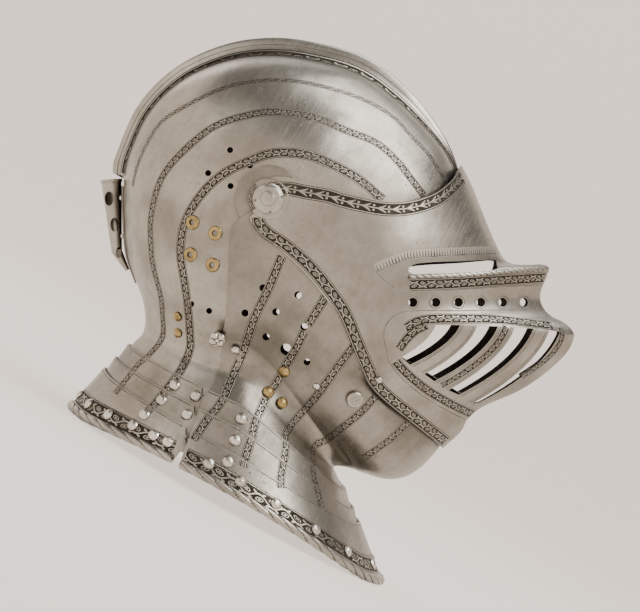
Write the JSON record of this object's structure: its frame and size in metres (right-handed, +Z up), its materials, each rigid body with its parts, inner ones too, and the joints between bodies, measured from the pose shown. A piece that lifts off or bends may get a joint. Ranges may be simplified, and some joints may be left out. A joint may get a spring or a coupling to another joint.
{
  "type": "close helmet",
  "caption": "Close helmet with a combed skull, a pointed pierced visor and bevor swinging on common pivots, plume tube and flaring laminated gorget with a roped rim.",
  "frame": {"origin": "middle of the bounding box, on the plane that the rim of the gorget stands on", "axes": "+Z up as the helmet stands on its rim, +X toward the face, +Y toward the wearer's left"},
  "size_m": [0.3718, 0.2352, 0.3381],
  "materials": {
    "steel_skull": "polished and aged, with etched bands",
    "steel_bevor": "polished and aged, with etched bands",
    "steel_visor": "polished and aged, with etched borders",
    "steel_rear_lames": "polished and aged, with etched bands",
    "steel_front_lames": "polished and aged, with etched bands",
    "steel_studs": "polished",
    "steel_fittings": "polished and aged",
    "spring_steel": "dark, tempered",
    "brass_fittings": "dull, aged",
    "lining_leather": "matte, dry"
  },
  "bodies": {
    "head": {"skull": "steel_skull", "pivot_bolt_right": "steel_fittings", "pivot_bolt_left": "steel_fittings", "pivot_nut_right": "steel_fittings", "pivot_nut_left": "steel_fittings", "plume_plate": "steel_fittings", "plume_tube": "steel_fittings", "plume_rivets": "steel_fittings", "skull_eyelets": "brass_fittings", "skull_rivets": "brass_fittings"},
    "catch": {"turning_catch": "steel_fittings"},
    "rear_upper": {"rear_lame_upper": "steel_rear_lames", "rear_upper_studs": "steel_studs", "rear_straps": "lining_leather"},
    "rear_lower": {"rear_lame_lower": "steel_rear_lames", "rear_lower_studs": "steel_studs"},
    "rear_plate": {"rear_gorget_plate": "steel_rear_lames", "rear_border_studs": "steel_studs", "rear_lining_band": "lining_leather"},
    "bevor": {"bevor": "steel_bevor", "bevor_rivets": "brass_fittings", "bevor_studs": "steel_studs", "button_spring": "spring_steel", "spring_rivet": "steel_studs"},
    "button": {"spring_button": "steel_fittings"},
    "front_upper": {"front_lame_upper": "steel_front_lames", "front_upper_studs": "steel_studs", "front_straps": "lining_leather"},
    "front_lower": {"front_lame_lower": "steel_front_lames", "front_lower_studs": "steel_studs"},
    "front_plate": {"front_gorget_plate": "steel_front_lames", "front_border_studs": "steel_studs", "front_lining_band": "lining_leather"},
    "visor": {"visor": "steel_visor", "visor_studs": "steel_studs"}
  },
  "joints": [
    {"name": "catch_turn", "type": "hinge", "parent": "head", "child": "catch", "pos_m": [-0.04495, -0.08323, 0.10262], "axis": [0.2221, -0.8763, -0.4276], "range_deg": [0, 90]},
    {"name": "bevor_swing", "type": "hinge", "parent": "head", "child": "bevor", "pos_m": [-0.0615, 0, 0.207], "axis": [0, -1, 0], "range_deg": [0, 40]},
    {"name": "visor_swing", "type": "hinge", "parent": "bevor", "child": "visor", "pos_m": [-0.0615, 0, 0.207], "axis": [0, -1, 0], "range_deg": [0, 60]},
    {"name": "button_press", "type": "slide", "parent": "bevor", "child": "button", "axis": [-0.3813, 0.8889, 0.2539], "range_m": [0, 0.002], "stiffness_N_per_m": 2000, "springref_m": -0.0005, "deforming": ["button_spring"]},
    {"name": "rear_upper_flex", "type": "hinge", "parent": "head", "child": "rear_upper", "pos_m": [0.017, 0, 0.02], "axis": [0, -1, 0], "range_deg": [0, 1.4], "deforming": ["rear_straps"]},
    {"name": "rear_lower_flex", "type": "hinge", "parent": "rear_upper", "child": "rear_lower", "pos_m": [0.017, 0, 0.02], "axis": [0, -1, 0], "range_deg": [0, 1.4]},
    {"name": "rear_plate_flex", "type": "hinge", "parent": "rear_lower", "child": "rear_plate", "pos_m": [0.017, 0, 0.02], "axis": [0, -1, 0], "range_deg": [0, 1.4]},
    {"name": "front_upper_flex", "type": "hinge", "parent": "bevor", "child": "front_upper", "pos_m": [0.028, 0, -0.051], "axis": [0, 1, 0], "range_deg": [0, 1.4], "deforming": ["front_straps"]},
    {"name": "front_lower_flex", "type": "hinge", "parent": "front_upper", "child": "front_lower", "pos_m": [0.028, 0, -0.051], "axis": [0, 1, 0], "range_deg": [0, 1.4]},
    {"name": "front_plate_flex", "type": "hinge", "parent": "front_lower", "child": "front_plate", "pos_m": [0.028, 0, -0.051], "axis": [0, 1, 0], "range_deg": [0, 1.4]}
  ],
  "couplings": [
    {"joint": "rear_lower_flex", "follows": "rear_upper_flex", "ratio": 1},
    {"joint": "rear_plate_flex", "follows": "rear_upper_flex", "ratio": 1},
    {"joint": "front_lower_flex", "follows": "front_upper_flex", "ratio": 1},
    {"joint": "front_plate_flex", "follows": "front_upper_flex", "ratio": 1}
  ]
}
